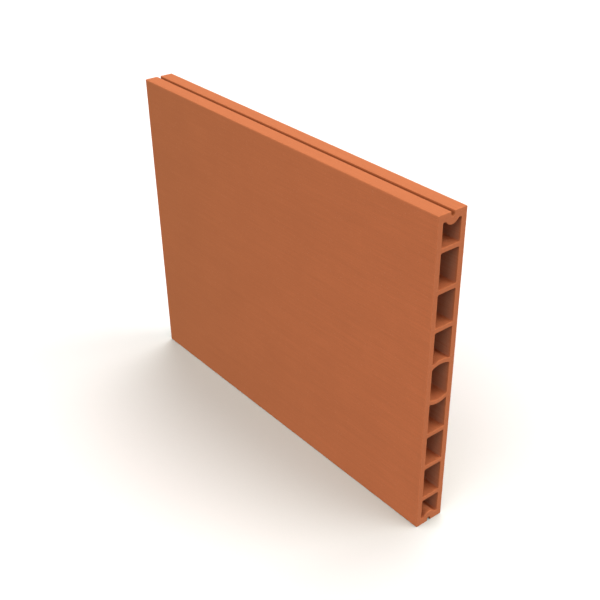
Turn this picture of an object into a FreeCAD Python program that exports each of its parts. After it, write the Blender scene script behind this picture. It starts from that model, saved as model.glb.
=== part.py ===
import FreeCAD, Part
import os

# Overall size of the block, in millimetres, standing on its long bed
length = 666.0
height = 500.0
thickness = 50.0

# Walls of the section
shell = 9.0  # front and back faces
bed = 11.5  # top and bottom, beside the rib
web = 6.8  # between one cell and the next

# Clear heights of the cells, counted from either bed inwards
end_cell = 34.5
next_cell = 51.8
middle_cells = 5  # these share the rest of the height equally
barrel_bow = 3.6  # how far the webs of the barrel cell, halfway up, bow away from it

# Groove along the middle of each bed, and the round rib that backs it
groove_width = 6.0
groove_depth = 6.5
rib_width = 22.0  # across the rib, where it leaves the bed wall
rib_drop = 6.5  # how far the rib stands into the end cell

# Rounded long edges
arris_radius = 1.5  # outer edges of the block
lip_radius = 0.8  # mouth of each groove
corner_radius = 2.0  # inside the cells

# The section lies in the YZ plane, with Y across the thickness and Z up from the lower bed
half_cell = thickness / 2 - shell
cell_count = middle_cells + 4
clear_height = height - 2 * bed - (cell_count - 1) * web
middle_cell = (clear_height - 2 * (end_cell + next_cell)) / middle_cells
cell_heights = [end_cell, next_cell] + [middle_cell] * middle_cells + [next_cell, end_cell]
barrel = cell_count // 2


def on_end(y, z):
    return FreeCAD.Vector(-length / 2, y, z)


def line(start, end):
    return Part.makeLine(on_end(*start), on_end(*end))


def arc(start, middle, end):
    return Part.Arc(on_end(*start), on_end(*middle), on_end(*end)).toShape()


def level(start, end, bow):
    # A wall of a cell seen on the end face: straight, or bowed up or down by a given amount
    if bow == 0:
        return line(start, end)
    return arc(start, ((start[0] + end[0]) / 2, start[1] + bow), end)


def extruded(edges):
    section = Part.Face(Part.Wire(edges))
    return section.extrude(FreeCAD.Vector(length, 0, 0))


def runs_lengthways(edge):
    return abs(edge.BoundBox.XLength - length) < 1e-6


def rounded(solid, radius, picked=runs_lengthways):
    return solid.makeFillet(radius, [edge for edge in solid.Edges if picked(edge)])


def plain_cell(low, high, floor_bow, ceiling_bow):
    outline = [
        level((-half_cell, low), (half_cell, low), floor_bow),
        line((half_cell, low), (half_cell, high)),
        level((half_cell, high), (-half_cell, high), ceiling_bow),
        line((-half_cell, high), (-half_cell, low)),
    ]
    return rounded(extruded(outline), corner_radius)


def ribbed_cell(inner, outer):
    # A cell against a bed: the wall at height outer carries the rib, which points towards inner
    tip = outer + rib_drop if inner > outer else outer - rib_drop
    outline = [
        line((-half_cell, inner), (half_cell, inner)),
        line((half_cell, inner), (half_cell, outer)),
        line((half_cell, outer), (rib_width / 2, outer)),
        arc((rib_width / 2, outer), (0, tip), (-rib_width / 2, outer)),
        line((-rib_width / 2, outer), (-half_cell, outer)),
        line((-half_cell, outer), (-half_cell, inner)),
    ]
    return rounded(extruded(outline), corner_radius)


def groove(mouth, inward):
    # A slot with a round floor, cut from the bed at height mouth; inward is 1 upwards and -1 downwards
    side = groove_width / 2
    spring = mouth + inward * (groove_depth - side)
    floor = mouth + inward * groove_depth
    outline = [
        line((-side, mouth), (-side, spring)),
        arc((-side, spring), (0, floor), (side, spring)),
        line((side, spring), (side, mouth)),
        line((side, mouth), (-side, mouth)),
    ]
    return extruded(outline)


def on_lip(edge):
    box = edge.BoundBox
    beside_groove = abs(abs(box.Center.y) - groove_width / 2) < 1e-6
    on_bed = min(abs(box.Center.z), abs(box.Center.z - height)) < 1e-6
    return runs_lengthways(edge) and beside_groove and on_bed


def build_blank():
    corner = FreeCAD.Vector(-length / 2, -thickness / 2, 0)
    blank = rounded(Part.makeBox(length, thickness, height, corner), arris_radius)
    grooved = blank.cut([groove(0, 1), groove(height, -1)])
    return rounded(grooved, lip_radius, on_lip)


def build_cells():
    cells = []
    low = bed
    for index, clear in enumerate(cell_heights):
        high = low + clear
        if index == 0:
            cells.append(ribbed_cell(high, low))
        elif index == cell_count - 1:
            cells.append(ribbed_cell(low, high))
        else:
            floor_bow = {barrel: -barrel_bow, barrel + 1: barrel_bow}.get(index, 0)
            ceiling_bow = {barrel: barrel_bow, barrel - 1: -barrel_bow}.get(index, 0)
            cells.append(plain_cell(low, high, floor_bow, ceiling_bow))
        low = high + web
    return cells


os.makedirs("parts", exist_ok=True)
block = build_blank().cut(build_cells()).removeSplitter()
block.exportStep("parts/hollow_clay_block.step")
print("solids", len(block.Solids), "valid", block.isValid(), "volume dm3", round(block.Volume / 1e6, 3))
print("middle cell", round(middle_cell, 2), "box", block.BoundBox)
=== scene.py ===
import math

import bmesh
import bpy
import numpy as np
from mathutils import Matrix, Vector


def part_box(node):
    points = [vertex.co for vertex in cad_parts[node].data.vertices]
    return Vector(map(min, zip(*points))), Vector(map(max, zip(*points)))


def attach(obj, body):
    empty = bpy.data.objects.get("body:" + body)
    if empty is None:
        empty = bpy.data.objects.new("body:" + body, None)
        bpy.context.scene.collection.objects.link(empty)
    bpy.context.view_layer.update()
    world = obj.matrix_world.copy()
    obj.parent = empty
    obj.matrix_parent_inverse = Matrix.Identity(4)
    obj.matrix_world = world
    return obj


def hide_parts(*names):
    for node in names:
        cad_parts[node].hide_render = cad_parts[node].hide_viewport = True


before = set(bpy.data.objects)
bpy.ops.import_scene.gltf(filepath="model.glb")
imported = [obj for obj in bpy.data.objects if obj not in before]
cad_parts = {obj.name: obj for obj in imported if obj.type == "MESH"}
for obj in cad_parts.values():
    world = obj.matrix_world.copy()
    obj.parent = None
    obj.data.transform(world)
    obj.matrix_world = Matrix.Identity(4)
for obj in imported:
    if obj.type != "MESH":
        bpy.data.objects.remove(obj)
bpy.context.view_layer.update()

mm = 0.001


# Shader maths: a Wire stands for one output socket, and sums or products of Wires add Math nodes
class Wire:
    def __init__(self, tree, socket=None):
        self.tree = tree
        self.socket = socket

    def make(self, kind, settings, sockets, output=0):
        node = self.tree.nodes.new(kind)
        for key, value in settings.items():
            if key == "stops":
                self.setStops(node.color_ramp, value)
            else:
                setattr(node, key, value)
        for key, value in sockets.items():
            self.feed(self.find(node.inputs, key), value)
        return Wire(self.tree, self.find(node.outputs, output))

    def find(self, sockets, key):
        if isinstance(key, int):
            return sockets[key]
        named = [s for s in sockets if s.identifier == key]
        return named[0] if named else sockets[key]

    def feed(self, socket, value):
        if isinstance(value, Wire):
            self.tree.links.new(value.socket, socket)
        else:
            socket.default_value = value

    def setStops(self, ramp, stops):
        while len(ramp.elements) < len(stops):
            ramp.elements.new(1.0)
        for element, (place, level) in zip(ramp.elements, stops):
            element.position = place
            element.color = (level, level, level, 1.0)

    def maths(self, operation, first, second=0.0):
        return self.make("ShaderNodeMath", {"operation": operation}, {0: first, 1: second})

    def __add__(self, other):
        return self.maths("ADD", self, other)

    def __radd__(self, other):
        return self.maths("ADD", other, self)

    def __sub__(self, other):
        return self.maths("SUBTRACT", self, other)

    def __rsub__(self, other):
        return self.maths("SUBTRACT", other, self)

    def __mul__(self, other):
        return self.maths("MULTIPLY", self, other)

    def __rmul__(self, other):
        return self.maths("MULTIPLY", other, self)

    def mixed(self, first, second):
        # this value picks between two colours
        sockets = {"Factor_Float": self, "A_Color": first, "B_Color": second}
        return self.make("ShaderNodeMix", {"data_type": "RGBA"}, sockets, "Result_Color")

    def ramp(self, *stops):
        return self.make("ShaderNodeValToRGB", {"stops": stops}, {"Fac": self})


# The block's section, repeated from the solid it replaces
block = {
    "node": "hollow_clay_block",
    "slot": "fired_clay",
    "shell": 9.0 * mm,          # front and back walls
    "bed": 11.5 * mm,           # top and bottom walls
    "web": 6.8 * mm,            # between two cells
    "endCell": 34.5 * mm,       # clear height of the cells against the beds
    "nextCell": 51.8 * mm,      # and of the ones after them
    "middleCells": 5,           # these share the rest
    "barrelBow": 3.6 * mm,      # bow of the webs of the cell halfway up
    "grooveWidth": 6.0 * mm,
    "grooveDepth": 6.5 * mm,
    "ribWidth": 22.0 * mm,      # rib behind each groove
    "ribDrop": 6.5 * mm,
    "ribBlend": 1.0 * mm,       # softness of the corner where a rib leaves its wall
    "arris": 1.5 * mm,          # radius of the outer long edges
    "lip": 0.8 * mm,            # radius of a groove's mouth
    "corner": 2.0 * mm,         # radius of the cells' corners
    "cutRound": 0.55 * mm,      # worn edge of the wire-cut ends
    "cutUneven": 0.5,           # how much that wear varies, as a share
    "wireWander": 0.25 * mm,    # how far the cutting wire strayed
    "dieWave": 0.07 * mm,       # long waves that the die left along the faces
    "dieStretch": 0.15,         # those waves are this much slower along the length than across it
    "dieFade": 40.0,            # and how fast they die out towards the ends
    "wearWaves": (6, 90.0 * mm, 9.0 * mm),      # number, longest and shortest of the waves of the wear
    "wanderWaves": (4, 420.0 * mm, 60.0 * mm),  # of the wire's stray
    "dieWaves": (7, 260.0 * mm, 22.0 * mm),     # and of what the die left
    "wearReach": 1.3 * mm,      # how far handling has paled the clay beside an edge
    "fillLightReach": 6.0 * mm,      # how far into a cell the painted fill light on its walls takes to build up
    "acrossSteps": 21,          # samples across a cell or web
    "upSteps": 22,              # samples up the side of a cell
    "flatSteps": 9,             # samples on each strip beside a groove
    "lipSteps": 5,              # round a groove's lip
    "wallSteps": 5,             # down its side
    "sweepSteps": 7,            # and round half its floor
    "cutSteps": 4,              # samples round a worn cut edge
    "skinStations": 46,         # samples along the length, outside
    "cellStations": 24,         # and inside the cells
    "ringSteps": 5,             # samples from a cell's mouth to the middle of its webs
    "weld": 0.004 * mm,         # points closer than this become one
    "sharpAngle": 50.0,         # degrees past which an edge is shaded sharp
    "seed": 7,
}

low, high = (np.array(corner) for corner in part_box(block["node"]))
length, thickness, height = high - low
halfThick = thickness / 2
halfCell = halfThick - block["shell"]


def spread(count):
    # steps from 0 to 1 that crowd towards both ends, as half a cosine wave does
    return 0.5 - 0.5 * np.cos(np.linspace(0.0, np.pi, count))


def cellLevels():
    # floors and ceilings of the cells, from the lower bed up
    outer = [block["endCell"], block["nextCell"]]
    count = block["middleCells"] + 2 * len(outer)
    clear = height - 2 * block["bed"] - (count - 1) * block["web"] - 2 * sum(outer)
    tall = np.array(outer + [clear / block["middleCells"]] * block["middleCells"] + outer[::-1])
    floors = block["bed"] + np.cumsum(tall + block["web"]) - tall - block["web"]
    return floors, floors + tall


def arcRise(y, halfWidth, rise):
    # height of a circular arc over its chord, carried on below the chord outside it
    radius = (halfWidth**2 + rise**2) / (2 * rise)
    return np.sqrt(np.maximum(radius**2 - y**2, 0.0)) - (radius - rise)


def bowLift(y):
    # the barrel's arc between the walls of its cell, and nothing outside them
    return np.maximum(arcRise(y, halfCell, block["barrelBow"]), 0.0)


def ribLift(y):
    # the arc and the flat wall, joined by the smooth maximum (a + sqrt(a^2 + k^2)) / 2
    rise = arcRise(y, block["ribWidth"] / 2, block["ribDrop"])
    return 0.5 * (rise + np.sqrt(rise**2 + block["ribBlend"] ** 2))


def roundCorners(points, lowCorner, highCorner, radius):
    # a point further than the radius from the inset rectangle is drawn in to that distance
    core = np.clip(points, np.array(lowCorner) + radius, np.array(highCorner) - radius)
    away = points - core
    reach = np.linalg.norm(away, axis=1, keepdims=True)
    return core + away * np.minimum(1.0, radius / np.maximum(reach, 1e-9))


def rectangle(lowY, lowZ, highY, highZ, bottomSteps, sideSteps, topSteps):
    # a closed loop of y, z points, anticlockwise from the lower left, each side without its last point
    bottom = lowY + (highY - lowY) * spread(bottomSteps)[:-1]
    rising = lowZ + (highZ - lowZ) * spread(sideSteps)[:-1]
    top = highY - (highY - lowY) * spread(topSteps)[:-1]
    falling = highZ - (highZ - lowZ) * spread(sideSteps)[:-1]
    y = np.concatenate([bottom, np.full(len(rising), highY), top, np.full(len(falling), lowY)])
    z = np.concatenate([np.full(len(bottom), lowZ), rising, np.full(len(top), highZ), falling])
    return np.stack([y, z], axis=1)


def bedOutline():
    # half a bed from its outer edge to the groove's floor, as y and depth, then mirrored
    side = block["grooveWidth"] / 2
    lip = block["lip"]
    turn = np.linspace(0.0, np.pi / 2, block["lipSteps"])
    sweep = np.linspace(0.0, np.pi / 2, block["sweepSteps"])
    spring = block["grooveDepth"] - side
    flatY = -halfThick + (halfThick - side - lip) * spread(block["flatSteps"])[:-1]
    wall = np.linspace(lip, spring, block["wallSteps"])[1:-1]
    lipY = -side - lip + lip * np.sin(turn)
    y = np.concatenate([flatY, lipY, np.full(len(wall), -side), -side * np.cos(sweep)])
    depth = np.concatenate([0 * flatY, lip - lip * np.cos(turn), wall, spring + side * np.sin(sweep)])
    half = np.stack([y, depth], axis=1)
    return np.concatenate([half, half[-2::-1] * (-1, 1)])


floors, ceilings = cellLevels()
cellCount = len(floors)
barrel = cellCount // 2
bed = bedOutline()
bedSteps = len(bed)
upSteps = block["upSteps"]
# heights where one cell's frame meets the next, halfway through each web
seams = np.concatenate([[0.0], floors[1:] - block["web"] / 2, [height]])


def cellLoop(index):
    # a rounded rectangle whose floor and ceiling are lifted by the bow of the barrel or by a rib
    floor, ceiling = floors[index], ceilings[index]
    bottomSteps = bedSteps if index == 0 else block["acrossSteps"]
    topSteps = bedSteps if index == cellCount - 1 else block["acrossSteps"]
    loop = rectangle(-halfCell, floor, halfCell, ceiling, bottomSteps, upSteps, topSteps)
    loop = roundCorners(loop, (-halfCell, floor), (halfCell, ceiling), block["corner"])
    y, z = loop.T
    share = (z - floor) / (ceiling - floor)
    floorSign = {barrel: -1, barrel + 1: 1}.get(index, 0)
    ceilingSign = {barrel: 1, barrel - 1: -1}.get(index, 0)
    lift = bowLift(y) * (floorSign * (1 - share) + ceilingSign * share)
    if index == 0:
        lift += ribLift(y) * (1 - share)
    if index == cellCount - 1:
        lift -= ribLift(y) * share
    return np.stack([y, z + lift], axis=1)


def outerLoop():
    # lower bed, right side frame by frame, upper bed, left side back down
    step = spread(upSteps)[:-1]
    rising = np.concatenate([a + (b - a) * step for a, b in zip(seams, seams[1:])])
    falling = np.concatenate([b - (b - a) * step for a, b in zip(seams[-2::-1], seams[:0:-1])])
    right = np.stack([np.full(len(rising), halfThick), rising], axis=1)
    left = np.stack([np.full(len(falling), -halfThick), falling], axis=1)
    top = np.array([0.0, height]) - bed[:-1]
    loop = np.concatenate([bed[:-1], right, top, left])
    return roundCorners(loop, (-halfThick, 0.0), (halfThick, height), block["arris"])


def loopNormals(loop):
    # right-hand normals of a closed anticlockwise loop: they point away from what it encloses
    along = np.roll(loop, -1, axis=0) - np.roll(loop, 1, axis=0)
    normal = np.stack([along[:, 1], -along[:, 0]], axis=1)
    return normal / np.linalg.norm(normal, axis=1, keepdims=True)


draw = np.random.default_rng(block["seed"])


def waves(count, longest, shortest):
    # lengths, directions and phases of a small set of sine waves in a plane
    size = np.geomspace(longest, shortest, count)
    turn = draw.uniform(0, 2 * np.pi, count)
    return size, turn, draw.uniform(0, 2 * np.pi, count)


def rippled(first, second, wave):
    # mean of sine waves running over two coordinates, between -1 and 1
    size, turn, phase = wave
    way = first[..., None] * np.cos(turn) + second[..., None] * np.sin(turn)
    return np.sin(2 * np.pi * way / size + phase).mean(axis=-1)


wearRipple = waves(*block["wearWaves"])
wanderRipple = waves(*block["wanderWaves"])
dieRipple = waves(*block["dieWaves"])


def endPlane(y, z, sign):
    # x of a cut end: the nominal plane, drawn back a little where the wire strayed
    stray = 0.5 + 0.5 * rippled(y + sign * halfThick, z, wanderRipple)
    return sign * (length / 2 - block["wireWander"] * stray)


def carried(loop, stations, clay):
    # the loop carried from end to end; clay is 1 where clay lies inside the loop and -1 where it lies
    # outside. Near each end the loop draws into the clay along a quarter circle, which rounds the cut edge.
    normal = loopNormals(loop) * clay
    wear = block["cutRound"] * (1 + block["cutUneven"] * rippled(loop[:, 0], loop[:, 1], wearRipple))
    turn = np.linspace(0.0, np.pi / 2, block["cutSteps"])
    grids = []
    for sign in (-1, 1):
        y = loop[:, 0] - normal[:, 0] * wear * (1 - np.cos(turn))[:, None]
        z = loop[:, 1] - normal[:, 1] * wear * (1 - np.cos(turn))[:, None]
        x = endPlane(y, z, sign) - sign * wear * (1 - np.sin(turn))[:, None]
        grids.append(np.stack([x, y, z], axis=2))
    share = spread(stations)[1:-1, None, None]
    start, finish = grids[0][:1], grids[1][:1]
    middle = start + (finish - start) * share
    # the die's waves run over x and y + z; faded out towards both ends, they sink into the clay
    x, y, z = np.moveaxis(middle, 2, 0)
    wave = block["dieWave"] * rippled(x * block["dieStretch"], z + y, dieRipple)
    wave = wave * np.minimum(1.0, share[..., 0] * (1 - share[..., 0]) * block["dieFade"])
    middle[..., 1:] -= normal * np.abs(wave)[..., None]
    return np.concatenate([grids[0][::-1], middle, grids[1]])


def gridQuads(rows, columns, start, flip):
    # corner numbers of a grid that closes on itself along its columns
    row, column = np.meshgrid(np.arange(rows - 1), np.arange(columns), indexing="ij")
    onward = (column + 1) % columns
    near, far = row * columns, (row + 1) * columns
    corners = [near + column, near + onward, far + onward, far + column]
    quads = np.stack(corners[::-1] if flip else corners, axis=-1).reshape(-1, 4)
    return quads + start


def frameLoops(skin, end, sign):
    # outline of each cell's frame on one cut end: stretches of the skin's last loop, and seams across
    # the webs, which bow with the barrel cell
    columns = len(skin[end])
    rightStart = bedSteps - 1
    topStart = rightStart + cellCount * (upSteps - 1)
    leftStart = topStart + bedSteps - 1

    def around(start, count):
        return skin[end][(start + np.arange(count)) % columns]

    rights = [around(rightStart + i * (upSteps - 1), upSteps) for i in range(cellCount)]
    lefts = [around(leftStart + (cellCount - 1 - i) * (upSteps - 1), upSteps) for i in range(cellCount)]
    seamsAcross = [None]
    for index in range(1, cellCount):
        start, finish = lefts[index][-1], rights[index][0]
        seam = start + (finish - start) * spread(block["acrossSteps"])[:, None]
        bowSign = {barrel: -1, barrel + 1: 1}.get(index, 0)
        seam[:, 2] += bowSign * bowLift(seam[:, 1])
        seam[1:-1, 0] = endPlane(seam[1:-1, 1], seam[1:-1, 2], sign)
        seamsAcross.append(seam)
    loops = []
    for index in range(cellCount):
        bottom = around(0, bedSteps) if index == 0 else seamsAcross[index]
        top = around(topStart, bedSteps) if index == cellCount - 1 else seamsAcross[index + 1][::-1]
        loops.append(np.concatenate([side[:-1] for side in (bottom, rights[index], top, lefts[index])]))
    return loops


def skinWear(skin):
    # 1 on an outer edge, falling off as exp(-distance / reach) from the long arrises and the cut rims
    x, y, z = np.moveaxis(skin, 2, 0)
    fromArris = np.maximum(halfThick - np.abs(y), np.minimum(z, height - z))
    fromRim = length / 2 - np.abs(x)
    return np.exp(-np.minimum(fromArris, fromRim) / block["wearReach"])


def cellWear(cell):
    # the same falloff, from the two rims of a cell
    return np.exp(-(length / 2 - np.abs(cell[..., 0])) / block["wearReach"])


def paintedGrooveShade(skin):
    # painted shade in a groove: 0 at the mouth, rising to 1 halfway down it, and 0 on the rest of the skin
    y, z = skin[..., 1], skin[..., 2]
    share = np.minimum(z, height - z) / (block["grooveDepth"] / 2)
    return np.where(np.abs(y) < block["grooveWidth"], np.clip(share, 0.0, 1.0), 0.0)


def paintedCellFill(cell, loop):
    # painted fill light: 1 - exp(-depth / reach) on the walls and ceiling of a cell, and 0 on its floor,
    # which faces up to the light
    lying = np.maximum(-loopNormals(loop)[:, 1], 0.0)
    depth = length / 2 - np.abs(cell[..., 0])
    return (1 - np.exp(-depth / block["fillLightReach"])) * (1 - lying)


def ringWear(ring):
    # the same falloff on a cut end, from the cell's mouth and from the block's outline
    y, z = ring[..., 1], ring[..., 2]
    fromMouth = np.linalg.norm(ring - ring[:1], axis=2)
    fromOutline = np.minimum(halfThick - np.abs(y), np.minimum(z, height - z))
    return np.exp(-np.minimum(fromMouth, np.maximum(fromOutline, 0.0)) / block["wearReach"])


finishes = ("extrudedClay", "wireCutClay", "cellClay")  # outside, cut ends and cells, in slot order
skinSlot, cutSlot, cellSlot = range(len(finishes))


def buildBlock():
    # closed grids of the skin, the cells and the rings round their mouths, welded into one mesh
    points, quads, slots, wear, sunk = [], [], [], [], []

    def addGrid(grid, flip, slot, worn, shadeLightMask):
        rows, columns = grid.shape[:2]
        quads.append(gridQuads(rows, columns, sum(len(p) for p in points), flip))
        points.append(grid.reshape(-1, 3))
        slots.append(np.full(len(quads[-1]), slot))
        wear.append(worn.ravel())
        sunk.append(shadeLightMask.ravel())

    skin = carried(outerLoop(), block["skinStations"], 1)
    addGrid(skin, False, skinSlot, skinWear(skin), paintedGrooveShade(skin))
    mouths = [cellLoop(index) for index in range(cellCount)]
    cells = [carried(mouth, block["cellStations"], -1) for mouth in mouths]
    for cell, mouth in zip(cells, mouths):
        addGrid(cell, True, cellSlot, cellWear(cell), paintedCellFill(cell, mouth))
    share = np.linspace(0.0, 1.0, block["ringSteps"] + 1)[:, None, None]
    for end, sign in ((0, -1), (-1, 1)):
        for cell, outline in zip(cells, frameLoops(skin, end, sign)):
            # straight blend from the cell's mouth to the frame's outline, laid back on the cut plane
            ring = cell[end] + (outline - cell[end]) * share
            ring[1:-1, :, 0] = endPlane(ring[1:-1, :, 1], ring[1:-1, :, 2], sign)
            addGrid(ring, sign > 0, cutSlot, ringWear(ring), np.zeros(ring.shape[:2]))

    mesh = bpy.data.meshes.new("firedBlock")
    mesh.from_pydata(np.concatenate(points), [], np.concatenate(quads))
    mesh.polygons.foreach_set("material_index", np.concatenate(slots))
    # the second attribute carries painted shade in the grooves and painted fill light deep in the cells
    for name, values in (("wear", wear), ("sunk", sunk)):
        mesh.attributes.new(name, "FLOAT", "POINT").data.foreach_set("value", np.concatenate(values))
    work = bmesh.new()
    work.from_mesh(mesh)
    bmesh.ops.remove_doubles(work, verts=work.verts, dist=block["weld"])
    work.to_mesh(mesh)
    work.free()
    mesh.shade_smooth()
    mesh.set_sharp_from_angle(angle=math.radians(block["sharpAngle"]))
    piece = bpy.data.objects.new("firedBlock", mesh)
    bpy.context.scene.collection.objects.link(piece)
    return piece


# Fired clay: a tone for each of the three surfaces, what the die, the wire and the kiln left on it, and
# painted light and shade
clay = {
    "extrudedClay": {
        "tone": (0.572, 0.1715, 0.065),
        "paintedShadeLightTone": (0.30, 0.085, 0.022),  # painted shade, darker down in the grooves
        "pull": (2.5, 150.0, 150.0),    # lines the die drew out along the length, per metre
        "line": 0.36,                   # how dark they are
        "relief": 0.22 * mm,
        "roughness": 0.84,
    },
    "wireCutClay": {
        "tone": (0.525, 0.164, 0.065),
        "pull": (150.0, 12.0, 420.0),   # marks the wire dragged across the thickness
        "line": 0.30,
        "relief": 0.30 * mm,
        "roughness": 0.90,
    },
    "cellClay": {
        "tone": (0.55, 0.168, 0.062),
        "paintedShadeLightTone": (0.50, 0.285, 0.185),  # painted fill light: paler and greyer deeper in on the walls and ceiling
        "pull": (2.5, 150.0, 150.0),
        "line": 0.36,
        "relief": 0.22 * mm,
        "roughness": 0.88,
    },
    "paintedSideLight": (0.11, 0.05, 0.06),  # painted light from the right: how much paler the right end is than the middle
    "bedEdge": 0.004,           # share of the height, at each bed, over which that painted light fades out, so the beds keep the middle tone
    "cloud": 0.035,             # broad firing clouds, as a share of brightness
    "cloudScale": 11.0,         # and how many to the metre
    "cloudStops": ((0.3, 0.0), (0.7, 1.0)),
    "lineTone": 0.80,           # the drawn lines' tone, as a share of the clay's
    "broadLines": 0.28,         # share of the broad ones
    "fineLines": 0.72,          # and of the fine ones
    "finer": 5.6,               # how many fine ones to a broad one
    "lineStops": ((0.38, 0.0), (0.62, 1.0)),
    "grain": 0.24,              # fine grain, as a share of darkening
    "grainTone": 0.72,
    "grainScale": 1100.0,
    "grainStops": ((0.3, 1.0), (0.6, 0.0)),
    "grainRough": 0.1,          # what the grain adds to the roughness
    "fleck": 0.34,              # sand and grog flecks, and how much they show
    "fleckScale": 430.0,
    "fleckShrink": 0.22,        # how much smaller the smallest are
    "fleckStops": ((0.12, 1.0), (0.34, 0.0)),
    "darkKinds": ((0.80, 0.0), (0.86, 1.0)),    # which of them are dark
    "paleKinds": ((0.10, 1.0), (0.16, 0.0)),    # and which are pale
    "darkFleck": 0.45,          # tone of the dark ones, as a share of the clay's
    "paleFleck": (0.74, 0.40, 0.24, 1.0),
    "worn": 0.45,               # how far a worn edge goes to the paler tone
    "wornTone": 1.22,           # and how much paler that is
    "wornScale": 160.0,         # patches of wear to the metre
    "wornStops": ((0.35, 0.25), (0.65, 1.0)),
    "patternRoughness": 0.6,
    "bump": 0.6,
    "grainLift": 0.45,          # in the relief, grain and lines stand up
    "lineLift": 0.8,
    "darkSink": 0.3,            # dark flecks lie sunk
    "paleLift": 0.2,            # and pale ones stand a little proud
    "gloss": 0.15,              # specular level
}


def scaled(colour, factor):
    # a tone made paler or darker, with the fourth value that a colour socket takes
    return tuple(v * factor for v in colour) + (1.0,)


def paintedSideTone(colour, side):
    # the tone at one end of the block under the painted side light: side is -1 at the left and 1 at the
    # right
    return tuple(v * (1 + side * d) for v, d in zip(colour, clay["paintedSideLight"]))


def clayMaterial(name):
    finish = clay[name]
    colour = finish["tone"]
    material = bpy.data.materials.new(name)
    material.use_nodes = True
    tree = material.node_tree
    shader = next(n for n in tree.nodes if n.type == "BSDF_PRINCIPLED")
    start = Wire(tree)
    place = start.make("ShaderNodeTexCoord", {}, {}, "Object")
    pulled = {"Vector": place, "Scale": finish["pull"]}
    drawn = start.make("ShaderNodeMapping", {"vector_type": "POINT"}, pulled)

    def noise(vector, scale, detail):
        sockets = {"Vector": vector, "Scale": scale, "Detail": detail, "Roughness": clay["patternRoughness"]}
        return start.make("ShaderNodeTexNoise", {}, sockets)

    clouds = noise(place, clay["cloudScale"], detail=4.0)
    broad = noise(drawn, 1.0, detail=3.0)
    fine = noise(drawn, clay["finer"], detail=3.0)
    lines = clay["broadLines"] * broad + clay["fineLines"] * fine
    grain = noise(place, clay["grainScale"], detail=2.0)

    # flecks: spots about the points of a cell pattern; each cell's colour picks its kind and its size
    spotSockets = {"Vector": place, "Scale": clay["fleckScale"], "Randomness": 1.0}
    spot = start.make("ShaderNodeTexVoronoi", {"feature": "F1"}, spotSockets, "Distance")
    lot = start.make("ShaderNodeTexVoronoi", {"feature": "F1"}, spotSockets, "Color")
    kind = start.make("ShaderNodeSeparateColor", {}, {"Color": lot}, "Red")
    size = start.make("ShaderNodeSeparateColor", {}, {"Color": lot}, "Green")
    fleck = (spot + clay["fleckShrink"] * size).ramp(*clay["fleckStops"])
    dark = fleck * kind.ramp(*clay["darkKinds"])
    pale = fleck * kind.ramp(*clay["paleKinds"])

    # tone along the length under the painted side light, clouded, with painted shade in the grooves and
    # painted fill light deep in the cells, then lined, grained, flecked and worn
    across = start.make("ShaderNodeSeparateXYZ", {}, {"Vector": place}, "X")
    rise = start.make("ShaderNodeSeparateXYZ", {}, {"Vector": place}, "Z")
    edge = clay["bedEdge"]
    upright = (rise * float(1 / height)).ramp((0.0, 0.0), (edge, 1.0), (1.0 - edge, 1.0), (1.0, 0.0))
    along = 0.5 + upright * across * float(1 / length)
    # painted light from the right: the upright faces grow paler towards the right end and darker towards the
    # left, the beds keep the middle tone
    tones = [
        along.mixed(scaled(paintedSideTone(colour, -1), level), scaled(paintedSideTone(colour, 1), level))
        for level in (1 - clay["cloud"], 1 + clay["cloud"])
    ]
    tone = clouds.ramp(*clay["cloudStops"]).mixed(*tones)
    # painted shade in the grooves and painted fill light deep in the cells
    if "paintedShadeLightTone" in finish:
        sunk = start.make("ShaderNodeAttribute", {"attribute_name": "sunk"}, {}, "Fac")
        tone = sunk.mixed(tone, scaled(finish["paintedShadeLightTone"], 1.0))
    lined = lines.ramp(*clay["lineStops"]) * finish["line"]
    tone = lined.mixed(tone, scaled(colour, clay["lineTone"]))
    grained = grain.ramp(*clay["grainStops"]) * clay["grain"]
    tone = grained.mixed(tone, scaled(colour, clay["grainTone"]))
    tone = (dark * clay["fleck"]).mixed(tone, scaled(colour, clay["darkFleck"]))
    tone = (pale * clay["fleck"]).mixed(tone, clay["paleFleck"])
    wear = start.make("ShaderNodeAttribute", {"attribute_name": "wear"}, {}, "Fac")
    rubbed = wear * noise(place, clay["wornScale"], detail=3.0).ramp(*clay["wornStops"])
    tone = (rubbed * clay["worn"]).mixed(tone, scaled(colour, clay["wornTone"]))
    start.feed(shader.inputs["Base Color"], tone)
    start.feed(shader.inputs["Roughness"], finish["roughness"] + clay["grainRough"] * grain)
    relief = clay["grainLift"] * grain + clay["lineLift"] * lines
    relief = relief - clay["darkSink"] * dark + clay["paleLift"] * pale
    bumpSockets = {"Height": relief, "Strength": clay["bump"], "Distance": finish["relief"]}
    start.feed(shader.inputs["Normal"], start.make("ShaderNodeBump", {}, bumpSockets))
    shader.inputs["Specular IOR Level"].default_value = clay["gloss"]
    return material


def finishBlock(piece):
    for name in finishes:
        piece.data.materials.append(clayMaterial(name))


firedBlock = buildBlock()
finishBlock(firedBlock)
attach(firedBlock, "root")
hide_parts(block["node"])
print("block made,", len(firedBlock.data.polygons), "faces")


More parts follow.
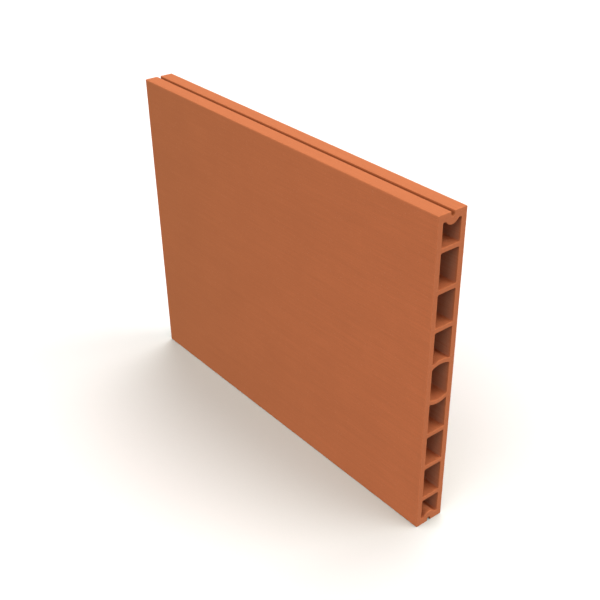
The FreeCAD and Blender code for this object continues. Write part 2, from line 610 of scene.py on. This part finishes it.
# Floor, light and camera
studio = {
    "floorSize": 40.0,
    "floorLit": (0.045, 0.045, 0.045, 1.0),    # what the floor throws back at the block
    "floorSeen": (0.983, 0.941, 0.910, 1.0),   # how white it looks in the open
    "paintedFloorShade": (0.581, 0.732, 0.642, 1.0),  # and its painted contact shade, where the block closes it in
    "closeReach": 0.4,           # metres over which the block does so
    "closeSamples": 8,           # rays that feel for it
    "skyStrength": 0.053,
    "softLamps": (               # name, power, degrees across, direction it shines from
        ("lampBehindLeft", 1.590, 40.4, (-0.271, 0.412, 0.870)),
        ("lampBehindRight", 2.533, 59.3, (0.716, 0.525, 0.459)),
        ("lampInFront", 2.632, 80.4, (-0.092, -0.835, 0.542)),
        ("lampBesideEnd", 0.394, 52.1, (0.900, -0.219, 0.377)),
    ),
    "cameraPlace": (1.0545, -0.8019, 1.0011),
    "cameraYaw": 50.395,         # degrees to the left of +Y
    "cameraPitch": 33.278,       # degrees down
    "lens": 58.505,              # millimetres, for the sensor below
    "sensor": 36.0,
    "shift": (-0.0361, 0.0833),
}


def seenDirectly(start):
    # 1 for rays that show the background itself, 0 for the light that reaches the block
    kinds = ("Camera", "Glossy", "Transmission")
    rays = [start.make("ShaderNodeLightPath", {}, {}, "Is " + kind + " Ray") for kind in kinds]
    return start.maths("MINIMUM", rays[0] + rays[1] + rays[2], 1.0)


def buildFloor():
    half = studio["floorSize"] / 2
    corners = np.array([(-half, -half, 0), (half, -half, 0), (half, half, 0), (-half, half, 0)])
    mesh = bpy.data.meshes.new("floor")
    mesh.from_pydata(corners, [], [(0, 1, 2, 3)])
    floor = bpy.data.objects.new("floor", mesh)
    bpy.context.scene.collection.objects.link(floor)
    material = bpy.data.materials.new("paleFloor")
    material.use_nodes = True
    shader = next(n for n in material.node_tree.nodes if n.type == "BSDF_PRINCIPLED")
    start = Wire(material.node_tree)
    # painted contact shade: the share of the upper half of the room that the block leaves open picks the
    # tone
    near = {"Distance": studio["closeReach"]}
    clear = start.make("ShaderNodeAmbientOcclusion", {"samples": studio["closeSamples"]}, near, "AO")
    seen = clear.mixed(studio["paintedFloorShade"], studio["floorSeen"])
    start.feed(shader.inputs["Base Color"], seenDirectly(start).mixed(studio["floorLit"], seen))
    shader.inputs["Roughness"].default_value = 1.0
    shader.inputs["Specular IOR Level"].default_value = 0.0
    mesh.materials.append(material)


def buildLight():
    # a sky that looks white but lights faintly, and a few broad suns
    world = bpy.data.worlds.new("softSky")
    world.use_nodes = True
    tree = world.node_tree
    sky = next(n for n in tree.nodes if n.type == "BACKGROUND")
    start = Wire(tree)
    sky.inputs["Color"].default_value = (1.0, 1.0, 1.0, 1.0)
    faint = studio["skyStrength"]
    start.feed(sky.inputs["Strength"], faint + (1.0 - faint) * seenDirectly(start))
    bpy.context.scene.world = world
    for name, power, across, source in studio["softLamps"]:
        data = bpy.data.lights.new(name, "SUN")
        data.energy = power
        data.angle = math.radians(across)
        lamp = bpy.data.objects.new(name, data)
        lamp.rotation_mode = "QUATERNION"
        lamp.rotation_quaternion = Vector(source).to_track_quat("Z", "Y")
        bpy.context.scene.collection.objects.link(lamp)


def buildCamera():
    # at the photo's viewpoint, turned by yaw from +Y and down by pitch
    yaw, pitch = math.radians(studio["cameraYaw"]), math.radians(studio["cameraPitch"])
    look = Vector((-math.sin(yaw) * math.cos(pitch), math.cos(yaw) * math.cos(pitch), -math.sin(pitch)))
    data = bpy.data.cameras.new("camera")
    data.lens = studio["lens"]
    data.sensor_width = studio["sensor"]
    data.shift_x, data.shift_y = studio["shift"]
    camera = bpy.data.objects.new("camera", data)
    camera.location = studio["cameraPlace"]
    camera.rotation_mode = "QUATERNION"
    camera.rotation_quaternion = look.to_track_quat("-Z", "Y")
    bpy.context.scene.collection.objects.link(camera)
    bpy.context.scene.camera = camera


buildFloor()
buildLight()
buildCamera()
bpy.context.scene.view_settings.view_transform = "Standard"
print("floor, light and camera made")
